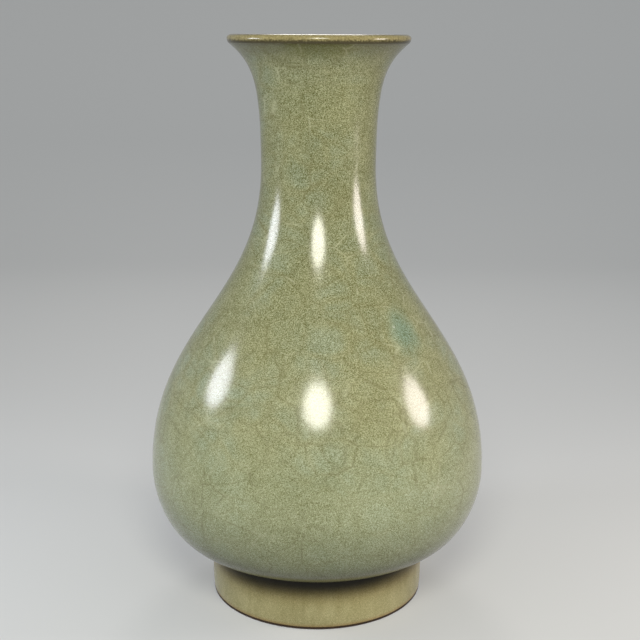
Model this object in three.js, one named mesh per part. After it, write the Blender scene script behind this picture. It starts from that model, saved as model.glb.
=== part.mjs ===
// Pear-shaped bottle vase with a flared mouth, in millimetres, with +Z up and the table at z = 0.
import * as THREE from "three";

// Outer form of the glazed vase: radii are from the upright axis and levels are from the table.
const height = 300;
const lipRadius = 46.5;
const lipRoll = 2.4; // radius of the rounded lip
const flareAngle = 50; // degrees from upright, where the flared mouth meets the lip
const throatRadius = 29.7;
const throatLevel = 234;
const bellyRadius = 90;
const bellyLevel = 72;
const footRadius = 57.6;
const footHeight = 30;
const footTaper = 0.6; // how much narrower the foot is at its top
const footSwell = 0.8; // how far the middle of the foot's wall stands out

// How full each curve is: the reach of its handles, as a share of the height or width it spans.
const undersideRise = 0.33;
const undersideReach = 0.75;
const shoulderRise = 0.46;
const shoulderFall = 0.434;
const neckRise = 0.682;
const flareReach = 0.265;

// Clay, slip and glaze.
const glaze = 0.9;
const wall = 5; // at the belly: the clay thins from there to the lip
const floorThickness = 7.5;
const footWall = 10.5; // thickness of the foot ring's clay
const footBevel = 0.4;
const slip = 1; // thickness of each luted seam
const neckSeamLevel = 190;
const washHeight = 0.7;
const bareRim = 3; // height of bare clay inside the foot ring
const clearance = 0.3; // between a coat and the clay under it, and between two coats

// Steps along each curve, and round the axis.
const footSteps = 3;
const undersideSteps = 6;
const shoulderSteps = 11;
const neckSteps = 7;
const lipSteps = 9;
const turnSteps = 40;

const at = (radius, level) => new THREE.Vector2(radius, level);

// Points of an upward curve with their outward directions.
function stations(curve, steps) {
  return Array.from({ length: steps + 1 }, (_, i) => {
    const tangent = curve.getTangent(i / steps);
    return { point: curve.getPoint(i / steps), out: at(tangent.y, -tangent.x) };
  });
}

// Two runs of stations as one. Where they meet at a corner, it moves clear of both sides alike.
function joined(low, high) {
  const end = low.at(-1);
  const start = high[0];
  const out = end.out.clone().add(start.out);
  out.divideScalar(1 + end.out.dot(start.out));
  return [...low.slice(0, -1), { point: start.point, out }, ...high.slice(1)];
}

// The lip is half a ring round this centre, and the mouth's curve runs into it at flareAngle.
const lipCentre = at(lipRadius - lipRoll, height - lipRoll);
const flare = THREE.MathUtils.degToRad(flareAngle);
const mouthEdge = at(Math.cos(flare), -Math.sin(flare)).multiplyScalar(lipRoll).add(lipCentre);

const footTopRadius = footRadius - footTaper;
const footCurve = new THREE.QuadraticBezierCurve(
  at(footRadius, 0),
  at((footRadius + footTopRadius) / 2 + 2 * footSwell, footHeight / 2),
  at(footTopRadius, footHeight),
);

const undersideCurve = new THREE.CubicBezierCurve(
  at(footTopRadius, footHeight),
  at(footTopRadius + undersideReach * (bellyRadius - footTopRadius), footHeight),
  at(bellyRadius, bellyLevel - undersideRise * (bellyLevel - footHeight)),
  at(bellyRadius, bellyLevel),
);

const shoulderCurve = new THREE.CubicBezierCurve(
  at(bellyRadius, bellyLevel),
  at(bellyRadius, bellyLevel + shoulderRise * (throatLevel - bellyLevel)),
  at(throatRadius, throatLevel - shoulderFall * (throatLevel - bellyLevel)),
  at(throatRadius, throatLevel),
);

const mouthRise = mouthEdge.y - throatLevel;
const mouthCurve = new THREE.CubicBezierCurve(
  at(throatRadius, throatLevel),
  at(throatRadius, throatLevel + neckRise * mouthRise),
  at(-Math.sin(flare), -Math.cos(flare)).multiplyScalar(flareReach * mouthRise).add(mouthEdge),
  mouthEdge,
);

const skin = [
  stations(footCurve, footSteps),
  stations(undersideCurve, undersideSteps),
  stations(shoulderCurve, shoulderSteps),
  stations(mouthCurve, neckSteps),
].reduce(joined);

// Depth of each surface under the outer one. At the lip the clay is what the coats leave of it.
const clayFace = glaze + clearance;
const lipWall = 2 * (lipRoll - clayFace);

function wallAt(level) {
  const share = (level - bellyLevel) / (mouthEdge.y - bellyLevel);
  return THREE.MathUtils.lerp(wall, lipWall, THREE.MathUtils.clamp(share, 0, 1));
}

const cavityFace = (level) => clayFace + wallAt(level);

// The line that lies at a depth under the skin, where depth is a number or depends on the level.
function layer(depth) {
  return skin.map(({ point, out }) => {
    const inward = typeof depth === "number" ? depth : depth(point.y);
    return point.clone().addScaledVector(out, -inward);
  });
}

// The stretch of an upward line between two levels, cut square at both.
function between(line, low, high) {
  const kept = [];
  line.forEach((point, i) => {
    const next = line[i + 1];
    if (point.y >= low && point.y <= high) kept.push(point);
    for (const level of [low, high]) {
      if (next && point.y < level && next.y > level) {
        kept.push(point.clone().lerp(next, (level - point.y) / (next.y - point.y)));
      }
    }
  });
  return kept;
}

const above = (line, low) => between(line, low, height);

// A line with its last segment made shorter, to stay clear of the lip.
function shortOfLip(line) {
  const end = line.at(-1);
  const back = line.at(-2).clone().sub(end).setLength(clearance);
  return [...line.slice(0, -1), end.clone().add(back)];
}

// The half ring over the mouth's edge, at a depth under the lip's surface, from outside to inside.
function lipArc(depth) {
  return Array.from({ length: lipSteps + 1 }, (_, i) => {
    const angle = (Math.PI * i) / lipSteps - flare;
    return at(Math.cos(angle), Math.sin(angle)).multiplyScalar(lipRoll - depth).add(lipCentre);
  });
}

const reversed = (line) => [...line].reverse();

const vase = new THREE.Group();

// A solid of revolution. Its outline runs up the outside and down the inside. One that touches the
// axis starts and ends on it, and any other closes on itself.
function turn(name, outline, { color, roughness }) {
  const line = outline[0].x === 0 ? outline : [...outline, outline[0]];
  const material = new THREE.MeshStandardMaterial({ color, roughness, metalness: 0 });
  const mesh = new THREE.Mesh(new THREE.LatheGeometry(line, turnSteps), material);
  mesh.name = name;
  mesh.rotation.x = Math.PI / 2; // the lathe turns about Y
  vase.add(mesh);
}

const firedClay = { color: 0x8a7a66, roughness: 0.9 };
const firedSlip = { color: 0x9b8c76, roughness: 0.92 };
const greenGlaze = { color: 0xa3a684, roughness: 0.25 };
const brownGlaze = { color: 0x9c875a, roughness: 0.3 };
const ironWash = { color: 0x2f2117, roughness: 0.7 };

const clayLine = layer(clayFace);
const cavityLine = layer(cavityFace);
const footSeamLevel = footHeight - clayFace;
const bodyBase = footSeamLevel + slip;
const floorLevel = bodyBase + floorThickness;
const bellySeam = { low: bellyLevel - slip / 2, high: bellyLevel + slip / 2 };
const neckSeam = { low: neckSeamLevel - slip / 2, high: neckSeamLevel + slip / 2 };

// Clay wall between two levels: a ring with level faces at both ends.
const wallRing = (low, high) => [
  ...between(clayLine, low, high),
  ...reversed(between(cavityLine, low, high)),
];

// The foot ring stands on its bare, bevelled edge.
const footOutside = between(clayLine, footBevel, footSeamLevel);
const standingRadius = footOutside[0].x;
const boreRadius = standingRadius - footWall;
turn(
  "foot_ring",
  [
    at(boreRadius + footBevel, 0),
    at(standingRadius - footBevel, 0),
    ...footOutside,
    at(boreRadius, footSeamLevel),
    at(boreRadius, footBevel),
  ],
  firedClay,
);
turn(
  "slip_seam_foot",
  [
    at(boreRadius, footSeamLevel),
    ...between(clayLine, footSeamLevel, bodyBase),
    at(boreRadius, bodyBase),
  ],
  firedSlip,
);

// The lower body is a thrown bowl with a flat floor.
turn(
  "lower_body",
  [
    at(0, bodyBase),
    ...between(clayLine, bodyBase, bellySeam.low),
    ...reversed(between(cavityLine, floorLevel, bellySeam.low)),
    at(0, floorLevel),
  ],
  firedClay,
);
turn("slip_seam_belly", wallRing(bellySeam.low, bellySeam.high), firedSlip);
turn("upper_body", wallRing(bellySeam.high, neckSeam.low), firedClay);
turn("slip_seam_neck", wallRing(neckSeam.low, neckSeam.high), firedSlip);

// The neck and its flared mouth are one piece, whose two sides run into the ends of the lip's arc.
turn(
  "neck",
  [
    ...above(clayLine, neckSeam.high).slice(0, -1),
    ...lipArc(clayFace),
    ...reversed(above(cavityLine, neckSeam.high)).slice(1),
  ],
  firedClay,
);

// The foot's outer edge is brown up to washTop, and the outer coat runs from there to the lip.
const washStart = clearance;
const washTop = washStart + washHeight;
const coatStart = washTop + clearance;
turn(
  "foot_edge_wash",
  [
    ...between(layer(0), washStart, washTop),
    ...reversed(between(layer(glaze), washStart, washTop)),
  ],
  ironWash,
);
turn(
  "outer_glaze",
  [
    ...shortOfLip(above(layer(0), coatStart)),
    ...reversed(shortOfLip(above(layer(glaze), coatStart))),
  ],
  greenGlaze,
);
turn("lip_band", [...lipArc(0), ...reversed(lipArc(glaze))], brownGlaze);

// The inner coat covers the floor and the wall up to the lip.
const innerBack = (level) => cavityFace(level) + clearance;
const innerFace = (level) => innerBack(level) + glaze;
const innerFloor = floorLevel + clearance;
turn(
  "inner_glaze",
  [
    at(0, innerFloor),
    ...shortOfLip(above(layer(innerBack), innerFloor)),
    ...reversed(shortOfLip(above(layer(innerFace), innerFloor + glaze))),
    at(0, innerFloor + glaze),
  ],
  greenGlaze,
);

// The base coat lines the hollow under the floor, down to the bare rim.
const baseRadius = boreRadius - clearance;
turn(
  "base_glaze",
  [
    at(0, bodyBase - glaze),
    at(baseRadius - glaze, bodyBase - glaze),
    at(baseRadius - glaze, bareRim),
    at(baseRadius, bareRim),
    at(baseRadius, bodyBase),
    at(0, bodyBase),
  ],
  greenGlaze,
);

export default vase;
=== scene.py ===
import math

import bmesh
import bpy
from mathutils import Matrix, Vector, noise
from mathutils.geometry import interpolate_bezier


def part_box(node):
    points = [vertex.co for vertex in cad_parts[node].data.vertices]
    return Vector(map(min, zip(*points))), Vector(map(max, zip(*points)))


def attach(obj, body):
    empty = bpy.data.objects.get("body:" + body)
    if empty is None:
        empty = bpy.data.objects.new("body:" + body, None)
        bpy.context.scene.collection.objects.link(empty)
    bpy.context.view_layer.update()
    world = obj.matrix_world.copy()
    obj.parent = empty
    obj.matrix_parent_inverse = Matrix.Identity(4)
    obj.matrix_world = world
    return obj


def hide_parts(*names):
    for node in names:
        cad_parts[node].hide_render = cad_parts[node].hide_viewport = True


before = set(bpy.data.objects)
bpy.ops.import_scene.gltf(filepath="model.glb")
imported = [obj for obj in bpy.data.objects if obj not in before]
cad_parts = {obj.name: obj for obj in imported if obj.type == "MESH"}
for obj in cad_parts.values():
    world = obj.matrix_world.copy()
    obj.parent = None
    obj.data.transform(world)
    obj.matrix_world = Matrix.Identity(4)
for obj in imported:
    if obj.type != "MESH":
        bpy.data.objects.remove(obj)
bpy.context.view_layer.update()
print("frame loaded:", len(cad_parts), "nodes")

# Outline of the glazed vase, in metres: radii are from the upright axis, levels from the table.
form = {
    "height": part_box("lip_band")[1].z,
    "lipRadius": 0.0465,
    "lipRoll": 0.0024,  # radius of the rounded lip
    "flareAngle": 50,  # degrees from upright, where the mouth meets the lip
    "throatRadius": 0.0297,
    "throatLevel": 0.234,
    "bellyRadius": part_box("outer_glaze")[1].x,
    "bellyLevel": 0.072,
    "footRadius": 0.0576,
    "footHeight": 0.030,
    "footTaper": 0.0006,
    "footSwell": 0.0008,
    "undersideRise": 0.33,
    "undersideReach": 0.75,
    "shoulderRise": 0.46,
    "shoulderFall": 0.434,
    "neckRise": 0.682,
    "flareReach": 0.265,
}

# Thickness of the coats and the clay. The gap is what a coat keeps from the clay under it.
build = {
    "glaze": 0.0009,
    "gap": 0.0003,
    "wall": 0.005,
    "cornerPool": 0.0016,  # glaze pooled in the corner over the foot
    "turnSteps": 256,
    "skinSteps": 72,  # along the shoulder, and in proportion along the other curves
    "hiddenSteps": 44,  # the same, on faces that are hidden
    "sharpEdge": 35,  # degrees, past which an edge shows as a corner
    "touch": 0.000001,  # points nearer than this are one, or lie on the axis
}

# Small unevenness of a hand-thrown pot.
hand = {
    "oval": 0.00012,
    "ovalTwist": 9,  # radians that the oval turns in a metre of height
    "ring": 0.00005,
    "ringPitch": 0.011,
    "ringDrift": 0.4,  # how much a throwing ring changes on its way round
    "seed": Vector((3.1, 7.4, 1.7)),
    "calmRadius": 0.03,  # nearer the axis than this, it fades out
}


def flat(radius, level):
    return Vector((radius, level))


def curved(start, startHandle, endHandle, end, steps):
    return interpolate_bezier(start, startHandle, endHandle, end, steps + 1)


def arc(centre, radius, first, last, steps):
    angles = [math.radians(first + (last - first) * i / steps) for i in range(steps + 1)]
    return [centre + flat(math.cos(a), math.sin(a)) * radius for a in angles]


# The outline's curves, from the table up.
flare = math.radians(form["flareAngle"])
lipCentre = flat(form["lipRadius"] - form["lipRoll"], form["height"] - form["lipRoll"])
mouthEdge = lipCentre + flat(math.cos(flare), -math.sin(flare)) * form["lipRoll"]
footBase = flat(form["footRadius"], 0)
footTop = flat(form["footRadius"] - form["footTaper"], form["footHeight"])
footMiddle = (footBase + footTop) / 2 + flat(2 * form["footSwell"], 0)
belly = flat(form["bellyRadius"], form["bellyLevel"])
throat = flat(form["throatRadius"], form["throatLevel"])
mouthRise = mouthEdge.y - throat.y
neckSpan = throat.y - belly.y


def footLine(steps):
    return curved(
        footBase, footBase.lerp(footMiddle, 2 / 3), footTop.lerp(footMiddle, 2 / 3), footTop, steps
    )


def undersideLine(steps):
    reach = flat(form["undersideReach"] * (belly.x - footTop.x), 0)
    rise = flat(0, form["undersideRise"] * (belly.y - footTop.y))
    return curved(footTop, footTop + reach, belly - rise, belly, steps)


def shoulderLine(steps):
    rise = flat(0, form["shoulderRise"] * neckSpan)
    fall = flat(0, form["shoulderFall"] * neckSpan)
    return curved(belly, belly + rise, throat - fall, throat, steps)


def mouthLine(steps):
    rise = flat(0, form["neckRise"] * mouthRise)
    reach = flat(math.sin(flare), math.cos(flare)) * form["flareReach"] * mouthRise
    return curved(throat, throat + rise, mouthEdge - reach, mouthEdge, steps)


# The whole outline. Each curve has its share of the shoulder's steps.
def skinLine(steps):
    line = []
    for curve, share in ((footLine, 0.15), (undersideLine, 0.6), (shoulderLine, 1), (mouthLine, 0.6)):
        line = line[:-1] + curve(max(4, round(share * steps)))
    return line


# Moves each point of an upward line inwards, square to the line. A corner keeps its depth on both sides.
def inward(line, depth):
    moved = []
    for i, point in enumerate(line):
        low = (point - line[i - 1] if i else line[1] - point).normalized()
        high = (line[i + 1] - point if i < len(line) - 1 else low).normalized()
        along = low + high
        out = flat(along.y, -along.x) / (1 + low.dot(high))
        reach = depth(point.y) if callable(depth) else depth
        moved.append(point - out * reach)
    return moved


# The stretch of an upward line between two levels, cut square at both.
def between(line, low, high):
    kept = []
    for i, point in enumerate(line):
        if low <= point.y <= high:
            kept.append(point)
        if i == len(line) - 1:
            break
        after = line[i + 1]
        for level in (low, high):
            if point.y < level < after.y:
                kept.append(point.lerp(after, (level - point.y) / (after.y - point.y)))
    return kept


# Rounds the corner of an upward line that lies at a place.
def rounded(line, corner, radius, fullness=0.6, steps=8):
    near = [i for i, point in enumerate(line) if (point - corner).length < radius]
    start, end = line[near[0] - 1], line[near[-1] + 1]
    bend = curved(start, start.lerp(corner, fullness), end.lerp(corner, fullness), end, steps)
    return line[: near[0] - 1] + bend + line[near[-1] + 2 :]


# How far the potter's hand left a point of the wall from the true round.
def unevenness(place):
    angle = math.atan2(place.y, place.x)
    oval = hand["oval"] * math.sin(2 * angle + hand["ovalTwist"] * place.z)
    drift = hand["ringDrift"]
    turn = Vector((drift * math.cos(angle), drift * math.sin(angle), place.z / hand["ringPitch"]))
    return oval + hand["ring"] * noise.noise(turn + hand["seed"])


# A piece turned from its outline, in place of a node of the frame. An outline that touches the axis starts
# and ends on it, and any other closes on itself.
def turned(name, node, outline, material):
    shape = bmesh.new()
    points = [shape.verts.new((point.x, 0, point.y)) for point in outline]
    ends = points[1:] + ([] if outline[0].x < build["touch"] else points[:1])
    edges = [shape.edges.new(pair) for pair in zip(points, ends)]
    bmesh.ops.spin(
        shape,
        geom=points + edges,
        cent=(0, 0, 0),
        axis=(0, 0, 1),
        angle=math.tau,
        steps=build["turnSteps"],
        use_merge=True,
    )
    bmesh.ops.remove_doubles(shape, verts=shape.verts, dist=build["touch"])
    bmesh.ops.recalc_face_normals(shape, faces=shape.faces)
    for vertex in shape.verts:
        radius = vertex.co.xy.length
        if radius > build["touch"]:
            vertex.co.xy *= 1 + unevenness(vertex.co) * min(1, radius / hand["calmRadius"]) / radius
    for face in shape.faces:
        face.smooth = True
    for edge in shape.edges:
        edge.smooth = edge.calc_face_angle(0) < math.radians(build["sharpEdge"])
    mesh = bpy.data.meshes.new(name)
    shape.to_mesh(mesh)
    shape.free()
    mesh.materials.append(material)
    piece = bpy.data.objects.new(name, mesh)
    bpy.context.scene.collection.objects.link(piece)
    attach(piece, "root")
    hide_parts(node)


# Colours are sRGB hex values, as a painter reads them off a screen.
def linear(code):
    parts = [int(code[i : i + 2], 16) / 255 for i in (1, 3, 5)]
    return tuple(p / 12.92 if p <= 0.04045 else ((p + 0.055) / 1.055) ** 2.4 for p in parts) + (1,)


# Adds a shader node, sets it up and returns its output. A link's value is an output or a plain value.
def add(tree, kind, links, output=None, **settings):
    node = tree.nodes.new("ShaderNode" + kind)
    for key, value in settings.items():
        setattr(node, key, value)
    shown = [socket for socket in node.inputs if socket.enabled]
    for key, value in links.items():
        socket = shown[key] if isinstance(key, int) else next(s for s in shown if s.name == key)
        if isinstance(value, bpy.types.NodeSocket):
            tree.links.new(value, socket)
        else:
            socket.default_value = value
    outputs = [socket for socket in node.outputs if socket.enabled]
    return next((s for s in outputs if s.name == output), outputs[0]) if outputs else None


# Where most values of a noise lie.
noiseSpan = {"From Min": 0.35, "From Max": 0.65}


def newMaterial(name):
    material = bpy.data.materials.new(name)
    material.use_nodes = True
    material.node_tree.nodes.clear()
    return material, material.node_tree


# Grey-green crackle glaze on stoneware, fired glossy. Fine pale strokes lie close together in an olive
# ground. Crackle, stained brown where colour has soaked in, parts it into bluish cells, and other cracks
# run nearly level and upright. The neck is more olive and darker, the darkening painted shade; the belly's
# lower half is painted lighter, as painted light, and its underside darker, as painted shade. A ragged
# dark
# line runs under the lip: thicker glaze and painted shade. Glaze pooled over the foot is dark, from the
# pooled glaze and from painted shade, and on the foot it ran thin: creamy, streaked and less glossy. A
# pinhole on the kiln spot is only a painted glint. Sizes are in metres.
glazeLook = {
    "bluish": "#a4ae94",
    "olive": "#a7a67c",
    "brown": "#77744b",
    "pale": "#c9cbaa",
    # painted shade: the neck's darker tone
    "neckShade": "#868963",
    "low": "#bac19a",  # the belly's lower half, painted lighter: painted light
    # dark line under the lip: thicker glaze and painted shade
    "underLipShade": "#4c4420",
    "under": "#7d7440",  # the belly's underside, darker: painted shade
    # the corner over the foot: pooled glaze, darkened further with painted shade
    "pooledShadeEdge": "#a08a4e",
    "pooledShade": "#261f0c",
    "foot": "#d6cc98",
    "footShade": "#c9be8a",
    "footEdge": "#b58a55",
    "contrast": 0.5,  # how far strokes and specks stand out from the ground
    "footContrast": 0.22,
    "neckContrast": 1.3,  # how much stronger all grain is on the neck
    "strokeWidth": 0.07,  # as a share of the winding noise's range
    "specks": 0.45,  # the specks' share in the grain, next to the strokes
    "fullGrain": 0.9,  # the grain's value that counts as fully pale
    "grainTone": (0.97, 0.97, 1.3),  # keeps the grain as grey as it is in the picture
    "faintCrack": 0.3,  # brown under all other tones, along the short cracks
    "streak": 0.0042,
    "streakStretch": (1, 1, 0.2),
    "ragged": (0.4, 0.6),  # noise values that fray the dark line under the lip
    "ripple": 0.000003,
    "roughness": 0.165,
    "ior": 1.52,
    "shine": (0.5, 0.2),  # specular level on the body and on the foot
    "shineLevels": (0.055, 0.033),  # where the one turns to the other
}

# Noise patterns on the glaze: size, detail and roughness. The real strokes are finer than two pixels of
# the picture, so they are drawn a little coarser, as are the specks.
glazeNoises = {
    "drift": (0.035, 3, 0.55),
    "soak": (0.024, 2, 0.5),
    "tone": (0.020, 2, 0.5),
    "fade": (0.015, 2, 0.5),
    "cloud": (0.012, 1, 0.5),
    "winding": (0.0007, 1, 0.5),
    "specks": (0.00045, 0, 0.5),
}

# Each noise turned to a share between two of its values. The last two numbers are the share's own limits.
glazeShares = {
    "drifted": ("drift", 0.36, 0.64, 0.1, 0.9),
    "soaked": ("soak", 0.38, 0.62, 0.3, 1),
    "brownOrPale": ("tone", 0.52, 0.60, 0, 1),
    "faded": ("fade", 0.42, 0.62, 0.1, 0.55),
    "speckled": ("specks", 0.32, 0.68, 0, 1),
    "clouded": ("cloud", 0.35, 0.65, -0.04, 0.04),  # how far soft clouds darken and lighten the glaze
}

# Two nets of crackle: size of a cell, size and reach of its bends, squash, how irregular it is, how far
# brown has soaked in and how strongly, and the width of the crack and the strength of its line.
crackleNets = {
    "short": {
        "cell": 0.018, "bend": 0.020, "reach": 0.014, "squash": (0.9, 0.9, 1.1), "randomness": 1.0,
        "stain": 0.0046, "stained": 0.75, "crack": 0.0010, "line": 0.3,
    },
    "long": {
        "cell": 0.0165, "bend": 0.035, "reach": 0.012, "squash": (0.75, 0.75, 1.15), "randomness": 0.6,
        "stain": 0.0030, "stained": 0.4, "crack": 0.0006, "line": 0.8,
    },
}

# Levels between which a tone comes in, and its strength there.
glazeBands = {
    # painted shade: the neck darker than the belly
    "neckShade": (0.10, 0.18, 0.5),
    # painted light: the belly's lower half lighter
    "low": (0.135, 0.070, 0.7),
    # painted shade: the belly's underside darker
    "under": (0.048, 0.036, 0.35),
    "foot": (0.031, 0.027, 0.85),
    "footEdge": (0.0040, 0.0010, 0.6),
    # the corner over the foot, dark from pooled glaze and painted shade
    "pooledShadeTop": (0.034, 0.0305, 1),
    "pooledShadeEdge": (0.0095, 0.0225, 0.6),  # the pooled glaze and its painted shade fade out downwards, first the middle, then the edge
    "pooledShadeFoot": (0.0150, 0.0262, 1),
    "onBody": (0.031, 0.040, 1),  # here the crack lines and the full grain show
    # the dark line under the lip, thicker glaze and painted shade
    "underLipShade": (0.2860, 0.2955, 0.6),
    "lipEdgeShade": (0.2940, 0.2962, 0.4),
}

# A bluer kiln spot on the right of the shoulder, where the glaze lies thick, with a pinhole at its top
# that is only a painted glint.
spotLook = {
    "colour": "#86a99b",
    "place": (0.0425, -0.0405, 0.1560),
    "reach": (0.0120, 0.0120, 0.0180),
    "edge": 1.15,  # as a share of the reach, as is the core
    "core": 0.2,
    "strength": 0.8,
    "bend": (0.008, 0.005),  # size and reach of its outline's bends
    "pinhole": (0.0380, -0.0427, 0.1586),
    "pinholeSize": 0.0008,
    # painted highlight in the pinhole
    "paintedGlint": "#e6f0ea",
}


# The same place, moved a little by a noise, so that a pattern there bends.
def bent(tree, place, size, reach):
    stir = add(tree, "TexNoise", {"Vector": place, "Scale": 1 / size, "Detail": 0}, "Color")
    centred = add(tree, "VectorMath", {0: stir, 1: (0.5, 0.5, 0.5)}, operation="SUBTRACT")
    moved = add(tree, "VectorMath", {0: centred, "Scale": reach}, operation="SCALE")
    return add(tree, "VectorMath", {0: place, 1: moved}, operation="ADD")


# Distance from the nearest crack of each net, as the share of the stain and of the crack itself.
def crackles(tree, place):
    nets = {}
    for name, net in crackleNets.items():
        winding = bent(tree, place, net["bend"], net["reach"])
        squashed = add(tree, "Mapping", {"Vector": winding, "Scale": net["squash"]})
        voronoi = {"Vector": squashed, "Scale": 1 / net["cell"], "Randomness": net["randomness"]}
        away = add(tree, "TexVoronoi", voronoi, "Distance", feature="DISTANCE_TO_EDGE")
        nets[name] = [
            add(
                tree,
                "MapRange",
                {"Value": away, "From Min": net[width] / net["cell"], "From Max": 0, "To Max": most},
                interpolation_type="SMOOTHSTEP",
            )
            for width, most in (("stain", net["stained"]), ("crack", 1))
        ]
    return nets


# How near a place is to the kiln spot and to its pinhole's painted glint.
def kilnSpot(tree, place):
    winding = bent(tree, place, *spotLook["bend"])
    away = add(tree, "VectorMath", {0: winding, 1: spotLook["place"]}, operation="SUBTRACT")
    reach = tuple(1 / reach for reach in spotLook["reach"])
    scaled = add(tree, "VectorMath", {0: away, 1: reach}, operation="MULTIPLY")
    far = add(tree, "VectorMath", {0: scaled}, "Value", operation="LENGTH")
    edge, core, strength = spotLook["edge"], spotLook["core"], spotLook["strength"]
    spot = {"Value": far, "From Min": edge, "From Max": core, "To Max": strength}
    pin = add(tree, "VectorMath", {0: place, 1: spotLook["pinhole"]}, "Value", operation="DISTANCE")
    size = spotLook["pinholeSize"]
    pinholeGlint = {"Value": pin, "From Min": size, "From Max": size / 2}
    return [add(tree, "MapRange", links, interpolation_type="SMOOTHSTEP") for links in (spot, pinholeGlint)]


def crackleGlaze():
    look = glazeLook
    tones = {key: linear(value) for key, value in look.items() if isinstance(value, str)}
    material, tree = newMaterial("crackle_glaze")
    place = add(tree, "TexCoord", {}, "Object")
    level = add(tree, "SeparateXYZ", {0: place}, "Z")
    noises = {
        name: add(
            tree,
            "TexNoise",
            {"Vector": place, "Scale": 1 / size, "Detail": detail, "Roughness": roughness},
            0,
        )
        for name, (size, detail, roughness) in glazeNoises.items()
    }
    bands = {
        name: add(
            tree,
            "MapRange",
            {"Value": level, "From Min": start, "From Max": end, "To Max": most},
            interpolation_type="SMOOTHSTEP",
        )
        for name, (start, end, most) in glazeBands.items()
    }
    nets = crackles(tree, place)
    spot, pinholeGlint = kilnSpot(tree, place)

    shares = {
        name: add(
            tree,
            "MapRange",
            {"Value": noises[source], "From Min": low, "From Max": high, "To Min": least, "To Max": most},
            interpolation_type="SMOOTHSTEP",
        )
        for name, (source, low, high, least, most) in glazeShares.items()
    }

    # Streaks run down the foot.
    upright = add(tree, "Mapping", {"Vector": place, "Scale": look["streakStretch"]})
    streaks = add(tree, "TexNoise", {"Vector": upright, "Scale": 1 / look["streak"], "Detail": 3}, 0)
    streaked = add(tree, "MapRange", {"Value": streaks, **noiseSpan})
    footTone = add(
        tree, "Mix", {"Factor": streaked, "A": tones["footShade"], "B": tones["foot"]}, data_type="RGBA"
    )

    # Tones laid over each other, from the ground up, each with its share.
    stain = add(tree, "Math", {0: nets["short"][0], 1: shares["soaked"]}, operation="MULTIPLY")
    faintCrack = add(tree, "Math", {0: nets["short"][1], 1: look["faintCrack"]}, operation="MULTIPLY")
    # masks of the pooled glaze and painted shade over the foot
    pooledShade = add(tree, "Math", {0: bands["pooledShadeTop"], 1: bands["pooledShadeFoot"]}, operation="MULTIPLY")
    pooledShadeEdge = add(tree, "Math", {0: bands["pooledShadeTop"], 1: bands["pooledShadeEdge"]}, operation="MULTIPLY")
    colour = tones["olive"]
    for share, tone in (
        (shares["drifted"], tones["bluish"]),
        (stain, tones["olive"]),
        (faintCrack, tones["brown"]),
        (nets["long"][0], tones["olive"]),
        (spot, linear(spotLook["colour"])),
        # painted highlight: the pinhole's glint
        (pinholeGlint, linear(spotLook["paintedGlint"])),
        # painted shade on the neck
        (bands["neckShade"], tones["neckShade"]),
        # painted light on the lower belly
        (bands["low"], tones["low"]),
        # painted shade on the belly's underside
        (bands["under"], tones["under"]),
        (bands["foot"], footTone),
        (bands["footEdge"], tones["footEdge"]),
        # pooled glaze and painted shade over the foot
        (pooledShadeEdge, tones["pooledShadeEdge"]),
        (pooledShade, tones["pooledShade"]),
    ):
        colour = add(tree, "Mix", {"Factor": share, "A": colour, "B": tone}, data_type="RGBA")

    # Fine strokes, where a winding noise crosses its middle, and specks, over all of it.
    offMiddle = add(tree, "Math", {0: noises["winding"], 1: 0.5}, operation="SUBTRACT")
    ridge = add(tree, "Math", {0: offMiddle}, operation="ABSOLUTE")
    strokes = add(tree, "MapRange", {"Value": ridge, "From Min": look["strokeWidth"], "From Max": 0})
    fine = add(tree, "Mix", {"Factor": look["specks"], "A": strokes, "B": shares["speckled"]})
    about = add(tree, "MapRange", {"Value": fine, "From Max": look["fullGrain"], "To Min": -1})
    contrast = add(
        tree,
        "MapRange",
        {"Value": bands["onBody"], "To Min": look["footContrast"], "To Max": look["contrast"]},
    )
    onNeck = {"Value": bands["neckShade"], "From Max": glazeBands["neckShade"][2], "To Min": 1}
    stronger = add(tree, "MapRange", {**onNeck, "To Max": look["neckContrast"]})
    grain = add(tree, "Math", {0: about, 1: contrast, 2: shares["clouded"]}, operation="MULTIPLY_ADD")
    weight = add(tree, "Math", {0: grain, 1: stronger}, operation="MULTIPLY")
    weights = {0: weight, 1: look["grainTone"], 2: (1, 1, 1)}
    toned = add(tree, "VectorMath", weights, operation="MULTIPLY_ADD")
    grained = add(tree, "VectorMath", {0: colour, 1: toned}, operation="MULTIPLY")

    # Crack lines over the strokes, on the body only: short ones brown, long ones brown or pale.
    lineTone = add(
        tree,
        "Mix",
        {"Factor": shares["brownOrPale"], "A": tones["brown"], "B": tones["pale"]},
        data_type="RGBA",
    )
    lined = grained
    for name, tone in (("short", tones["brown"]), ("long", lineTone)):
        shown = add(tree, "Math", {0: nets[name][1], 1: shares["faded"]}, operation="MULTIPLY")
        onBody = add(tree, "Math", {0: shown, 1: bands["onBody"]}, operation="MULTIPLY")
        share = add(tree, "Math", {0: onBody, 1: crackleNets[name]["line"]}, operation="MULTIPLY")
        lined = add(tree, "Mix", {"Factor": share, "A": lined, "B": tone}, data_type="RGBA")

    # The dark line under the lip, thicker glaze and painted shade, frayed by the specks.
    start, end = look["ragged"]
    ragged = add(tree, "MapRange", {"Value": noises["specks"], "From Min": start, "From Max": end})
    rims = {0: bands["underLipShade"], 1: ragged, 2: bands["lipEdgeShade"]}
    lipShadeShare = add(tree, "Math", rims, operation="MULTIPLY_ADD")
    whole = add(tree, "Mix", {"Factor": lipShadeShare, "A": lined, "B": tones["underLipShade"]}, data_type="RGBA")

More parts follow.
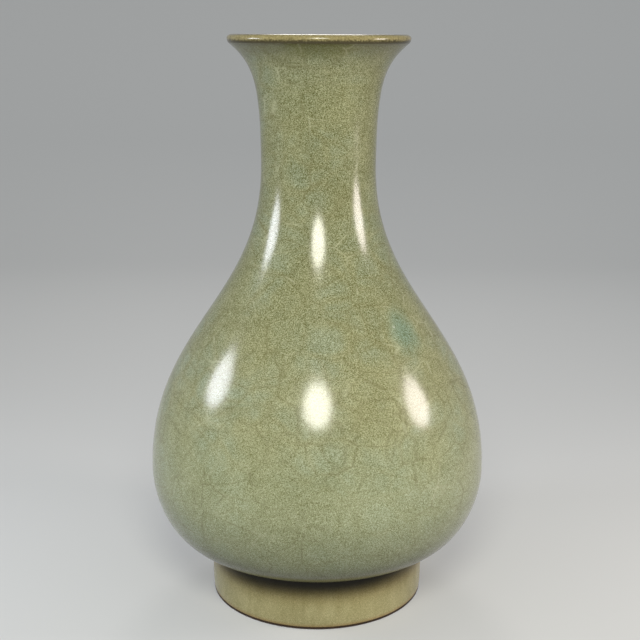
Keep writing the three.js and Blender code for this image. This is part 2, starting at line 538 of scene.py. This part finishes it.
    ripple = add(tree, "Bump", {"Height": fine, "Distance": look["ripple"], "Strength": 1})
    (high, low), (most, least) = look["shineLevels"], look["shine"]
    drier = {"Value": level, "From Min": high, "From Max": low, "To Min": most, "To Max": least}
    shine = add(tree, "MapRange", drier)
    gloss = {"Base Color": whole, "Roughness": look["roughness"], "IOR": look["ior"], "Normal": ripple}
    shader = add(tree, "BsdfPrincipled", {**gloss, "Specular IOR Level": shine})
    add(tree, "OutputMaterial", {"Surface": shader})
    return material


# Thin golden-brown glaze over the lip, glossy, where the coat has run off the rounded edge. Under its edge
# it
# turns dark olive: partly thicker glaze, partly painted shade.
lipLook = {
    "golden": "#a99d6e",
    "deep": "#82774d",
    # darker under the lip's edge: partly thicker glaze, partly painted shade
    "olive": "#433b19",
    "crest": "#4f4629",
    # The olive tone darkens the lip under its edge: partly thicker glaze, partly painted shade.
    "bands": {"olive": (0.2979, 0.2967), "crest": (0.2996, 0.3001)},  # levels where each tone comes in
    "wander": 0.0022,  # how far those levels stray
    "mottle": 0.0009,
    "ripple": 0.000006,
    "roughness": 0.18,
    "ior": 1.52,
}


def goldenGlaze():
    material, tree = newMaterial("golden_lip_glaze")
    place = add(tree, "TexCoord", {}, "Object")
    mottle = add(tree, "TexNoise", {"Vector": place, "Scale": 1 / lipLook["mottle"], "Detail": 3}, 0)
    spread = add(tree, "MapRange", {"Value": mottle, **noiseSpan})
    colour = add(
        tree,
        "Mix",
        {"Factor": spread, "A": linear(lipLook["deep"]), "B": linear(lipLook["golden"])},
        data_type="RGBA",
    )
    level = add(tree, "SeparateXYZ", {0: place}, "Z")
    wander = lipLook["wander"]
    uneven = add(tree, "Math", {0: mottle, 1: wander, 2: -wander / 2}, operation="MULTIPLY_ADD")
    level = add(tree, "Math", {0: level, 1: uneven}, operation="ADD")
    for tone, (start, end) in lipLook["bands"].items():
        share = add(tree, "MapRange", {"Value": level, "From Min": start, "From Max": end})
        laid = {"Factor": share, "A": colour, "B": linear(lipLook[tone])}
        colour = add(tree, "Mix", laid, data_type="RGBA")
    ripple = add(tree, "Bump", {"Height": mottle, "Distance": lipLook["ripple"], "Strength": 1})
    gloss = {"Roughness": lipLook["roughness"], "IOR": lipLook["ior"]}
    shader = add(tree, "BsdfPrincipled", {"Base Color": colour, "Normal": ripple, **gloss})
    add(tree, "OutputMaterial", {"Surface": shader})
    return material


# Iron-rich wash brushed round the foot's edge: matt, nearly black brown, a little worn.
washLook = {"dark": "#2a1d12", "pale": "#4a3420", "grain": 0.0015, "roughness": 0.6}

# Stoneware clay, fired bare: dry, dark brown from its iron, with coarser dark and pale grains.
clayLook = {"dark": "#44321f", "pale": "#705a3e", "grain": 0.0009, "roughness": 0.88}

# Luting slip, the same clay ground finer: paler, dry and even.
slipLook = {"dark": "#7d6b52", "pale": "#9b8868", "grain": 0.0006, "roughness": 0.9}

# What the three share: how rough their grain is to the touch and to the eye.
dryLook = {"relief": 0.00006, "detail": 4, "coarseness": 0.65, "ior": 1.5}


def matt(name, look):
    material, tree = newMaterial(name)
    place = add(tree, "TexCoord", {}, "Object")
    sand = {"Scale": 1 / look["grain"], "Detail": dryLook["detail"], "Roughness": dryLook["coarseness"]}
    grain = add(tree, "TexNoise", {"Vector": place, **sand}, 0)
    spread = add(tree, "MapRange", {"Value": grain, **noiseSpan})
    tones = {"A": linear(look["dark"]), "B": linear(look["pale"])}
    colour = add(tree, "Mix", {"Factor": spread, **tones}, data_type="RGBA")
    bump = add(tree, "Bump", {"Height": grain, "Distance": dryLook["relief"], "Strength": 1})
    dry = {"Roughness": look["roughness"], "IOR": dryLook["ior"]}
    shader = add(tree, "BsdfPrincipled", {"Base Color": colour, "Normal": bump, **dry})
    add(tree, "OutputMaterial", {"Surface": shader})
    return material


glaze = crackleGlaze()
lipGlaze = goldenGlaze()
ironWash = matt("iron_wash", washLook)
bareClay = matt("bare_stoneware", clayLook)
bareSlip = matt("luting_slip", slipLook)
print("materials made")

# Surfaces under the skin, by depth.
clayDepth = build["glaze"] + build["gap"]
lipWall = 2 * (form["lipRoll"] - clayDepth)


def wallAt(level):
    share = (level - belly.y) / (mouthEdge.y - belly.y)
    return build["wall"] + (lipWall - build["wall"]) * min(1, max(0, share))


skin = skinLine(build["skinSteps"])
hidden = skinLine(build["hiddenSteps"])
coatFace = rounded(skin, footTop, build["cornerPool"])
coatBack = inward(hidden, build["glaze"])
clayFace = inward(hidden, clayDepth)
cavityFace = inward(hidden, lambda level: clayDepth + wallAt(level))
innerBack = inward(hidden, lambda level: clayDepth + wallAt(level) + build["gap"])
innerFace = inward(hidden, lambda level: clayDepth + wallAt(level) + build["gap"] + build["glaze"])

footSeam = [corner.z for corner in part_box("slip_seam_foot")]
bellySeam = [corner.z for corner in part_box("slip_seam_belly")]
neckSeam = [corner.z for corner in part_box("slip_seam_neck")]
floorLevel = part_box("inner_glaze")[0].z - build["gap"]
top = form["height"]


def clayBand(low, high):
    return between(clayFace, low, high) + between(cavityFace, low, high)[::-1]


def lipArc(depth, steps=24):
    radius = form["lipRoll"] - depth
    return arc(lipCentre, radius, -form["flareAngle"], 180 - form["flareAngle"], steps)


# Clay body: foot ring, bowl, dome and neck, luted with slip.
ring = {"bore": 0.0459, "bevel": 0.0004}
outside = between(clayFace, ring["bevel"], footSeam[0])
stand = outside[0].x
turned(
    "footRing",
    "foot_ring",
    arc(flat(ring["bore"] + ring["bevel"], ring["bevel"]), ring["bevel"], 180, 270, steps=6)
    + arc(flat(stand - ring["bevel"], ring["bevel"]), ring["bevel"], 270, 360, steps=6)
    + outside[1:]
    + [flat(ring["bore"], footSeam[0])],
    bareClay,
)
turned(
    "footSeam",
    "slip_seam_foot",
    [flat(ring["bore"], footSeam[0])] + between(clayFace, *footSeam) + [flat(ring["bore"], footSeam[1])],
    bareSlip,
)
turned(
    "lowerBody",
    "lower_body",
    [flat(0, footSeam[1])]
    + between(clayFace, footSeam[1], bellySeam[0])
    + between(cavityFace, floorLevel, bellySeam[0])[::-1]
    + [flat(0, floorLevel)],
    bareClay,
)
turned("bellySeam", "slip_seam_belly", clayBand(*bellySeam), bareSlip)
turned("upperBody", "upper_body", clayBand(bellySeam[1], neckSeam[0]), bareClay)
turned("neckSeam", "slip_seam_neck", clayBand(*neckSeam), bareSlip)
turned(
    "neckAndMouth",
    "neck",
    between(clayFace, neckSeam[1], top)[:-1]
    + lipArc(clayDepth)
    + between(cavityFace, neckSeam[1], top)[::-1][1:],
    bareClay,
)
print("clay body made")

# Coats: the wash at the foot's edge, the glaze outside, over the lip, inside and under the base.
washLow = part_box("foot_edge_wash")[0].z
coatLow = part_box("outer_glaze")[0].z
roll = build["glaze"] / 2  # radius of a coat's rounded edge
turned(
    "footEdgeWash",
    "foot_edge_wash",
    between(skin, washLow, coatLow) + between(coatBack, washLow, coatLow)[::-1],
    ironWash,
)
lowEdge = between(skin, coatLow + roll, top)[0] - flat(roll, 0)
turned(
    "outerGlaze",
    "outer_glaze",
    arc(lowEdge, roll, 180, 360, steps=8)
    + between(coatFace, coatLow + roll, top)[1:]
    + between(coatBack, coatLow + roll, top)[::-1][:-1],
    glaze,
)

# The lip's coat: it swells out to its edge, and from there tapers over to the crest. Four lengths say how
# far each curve's handles reach, on the way from under the edge to the crest.
lip = {
    "edge": flat(0.0465, 0.2980),
    "crest": flat(0.0437, top),
    "under": 0.0007,
    "belowEdge": 0.0004,
    "fullness": 0.0013,
    "slope": 0.0014,
    "behindCrest": 101,  # degrees round the lip, where its coat runs on behind the crest
}
upFlare = flat(math.sin(flare), math.cos(flare))
swell = curved(
    mouthEdge,
    mouthEdge + upFlare * lip["under"],
    lip["edge"] - flat(0, lip["belowEdge"]),
    lip["edge"],
    steps=5,
)
taper = curved(
    lip["edge"],
    lip["edge"] + flat(0, lip["fullness"]),
    lip["crest"] + flat(lip["slope"], 0),
    lip["crest"],
    steps=16,
)
behind = arc(lipCentre, form["lipRoll"], lip["behindCrest"], 180 - form["flareAngle"], steps=6)
turned(
    "lipGlaze",
    "lip_band",
    swell[:-1] + taper + behind + lipArc(build["glaze"])[::-1],
    lipGlaze,
)

innerFloor = floorLevel + build["gap"]
turned(
    "innerGlaze",
    "inner_glaze",
    [flat(0, innerFloor)]
    + between(innerBack, innerFloor, top)
    + between(innerFace, innerFloor + build["glaze"], top)[::-1]
    + [flat(0, innerFloor + build["glaze"])],
    glaze,
)
baseLow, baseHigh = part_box("base_glaze")
cup = {"radius": baseHigh.x, "corner": 0.002}
cupInside = cup["radius"] - build["glaze"]
ceiling = footSeam[1] - build["glaze"]
turned(
    "baseGlaze",
    "base_glaze",
    [flat(0, ceiling)]
    + arc(flat(cupInside - cup["corner"], ceiling - cup["corner"]), cup["corner"], 90, 0, steps=8)
    + arc(flat(cup["radius"] - roll, baseLow.z + roll), roll, 180, 360, steps=8)
    + [flat(cup["radius"], footSeam[1]), flat(0, footSeam[1])],
    glaze,
)
print("coats made")

# Floor and backdrop: one pale paper sweep. The camera and the reflections see it paler than it is as a
# source of bounced light, so that it stays even far from the lamps.
studio = {"front": -2.2, "back": 1.6, "bend": 0.7, "bendSteps": 24, "top": 2.6, "half": 3.0}
paperLook = {"paper": "#626363", "seen": "#bcbdbd", "evenness": 0.22, "evenTone": "#f4f6f6"}


def mattPaper():
    material, tree = newMaterial("matt_paper")
    rays = [add(tree, "LightPath", {}, f"Is {kind} Ray") for kind in ("Camera", "Glossy", "Transmission")]
    pair = add(tree, "Math", {0: rays[0], 1: rays[1]}, operation="MAXIMUM")
    seen = add(tree, "Math", {0: pair, 1: rays[2]}, operation="MAXIMUM")
    bounced = add(tree, "BsdfDiffuse", {"Color": linear(paperLook["paper"])})
    lit = add(tree, "BsdfDiffuse", {"Color": linear(paperLook["seen"])})
    glow = {"Color": linear(paperLook["evenTone"]), "Strength": paperLook["evenness"]}
    even = add(tree, "Emission", glow)
    pale = add(tree, "AddShader", {0: lit, 1: even})
    add(tree, "OutputMaterial", {"Surface": add(tree, "MixShader", {0: seen, 1: bounced, 2: pale})})
    return material


def sweep():
    shape = bmesh.new()
    centre = Vector((studio["back"] - studio["bend"], studio["bend"]))
    line = [Vector((studio["front"], 0))] + arc(centre, studio["bend"], -90, 0, studio["bendSteps"])
    line.append(Vector((studio["back"], studio["top"])))
    points = [shape.verts.new((-studio["half"], point.x, point.y)) for point in line]
    edges = [shape.edges.new(pair) for pair in zip(points, points[1:])]
    grown = bmesh.ops.extrude_edge_only(shape, edges=edges)
    moved = [item for item in grown["geom"] if isinstance(item, bmesh.types.BMVert)]
    bmesh.ops.translate(shape, verts=moved, vec=(2 * studio["half"], 0, 0))
    for face in shape.faces:
        face.smooth = True
    mesh = bpy.data.meshes.new("studio_sweep")
    shape.to_mesh(mesh)
    shape.free()
    mesh.materials.append(mattPaper())
    paper = bpy.data.objects.new("studioSweep", mesh)
    bpy.context.scene.collection.objects.link(paper)


sweep()

# Three small soft lamps in front and a fainter one high behind, which lights the back alone. Azimuth 0 is
# in front of the vase, and positive to its right as the camera sees it.
lamps = {
    "leftLamp": {
        "azimuth": -82.7, "rise": 17.4, "distance": 0.45, "size": (0.142, 0.138), "glow": 14.5,
        "tint": "#f2f5ff",
    },
    "frontLamp": {
        "azimuth": 0, "rise": 27.6, "distance": 0.52, "size": (0.172, 0.180), "glow": 21,
        "tint": "#fffdf0",
    },
    "rightLamp": {
        "azimuth": 77.0, "rise": 13.4, "distance": 0.52, "size": (0.160, 0.180), "glow": 15,
        "tint": "#fff4ee",
    },
    "backLamp": {
        "azimuth": 180, "rise": 38, "distance": 1.0, "size": (0.30, 0.30), "glow": 8,
        "tint": "#fffaf4",
    },
}
aim = Vector((0, 0, 0.17))
for name, lamp in lamps.items():
    azimuth, rise = math.radians(lamp["azimuth"]), math.radians(lamp["rise"])
    way = Vector((math.sin(azimuth) * math.cos(rise), -math.cos(azimuth) * math.cos(rise), math.sin(rise)))
    light = bpy.data.lights.new(name, "AREA")
    light.shape = "ELLIPSE"
    light.size, light.size_y = lamp["size"]
    face = math.pi / 4 * light.size * light.size_y
    light.energy = lamp["glow"] * math.pi * face
    light.color = linear(lamp["tint"])[:3]
    holder = bpy.data.objects.new(name, light)
    holder.location = aim + way * lamp["distance"]
    holder.rotation_euler = way.to_track_quat("Z", "Y").to_euler()
    bpy.context.scene.collection.objects.link(holder)

# Even light from all round.
air = {"tint": "#e4e8ea", "strength": 0.39}
world = bpy.data.worlds.new("studio_air")
world.use_nodes = True
background = world.node_tree.nodes["Background"].inputs
background["Color"].default_value = linear(air["tint"])
background["Strength"].default_value = air["strength"]
bpy.context.scene.world = world
print("studio lit")

# Camera at the mouth's level, looking down a little.
view = {
    "place": Vector((0, -0.598, 0.3005)),
    "down": 14.0,
    "turn": -0.11,
    "roll": 0.25,
    "focal": 1150,  # in pixels of the picture
    "picture": 640,
    "sensor": 36,  # in millimetres
    "nearest": 0.01,
}
lens = bpy.data.cameras.new("camera")
lens.sensor_width = view["sensor"]
lens.lens = view["focal"] / view["picture"] * view["sensor"]
lens.clip_start = view["nearest"]
camera = bpy.data.objects.new("camera", lens)
bpy.context.scene.collection.objects.link(camera)
camera.matrix_world = (
    Matrix.Translation(view["place"])
    @ Matrix.Rotation(math.radians(view["turn"]), 4, "Z")
    @ Matrix.Rotation(math.radians(90 - view["down"]), 4, "X")
    @ Matrix.Rotation(math.radians(view["roll"]), 4, "Z")
)
bpy.context.scene.camera = camera
bpy.context.scene.view_settings.view_transform = "Standard"
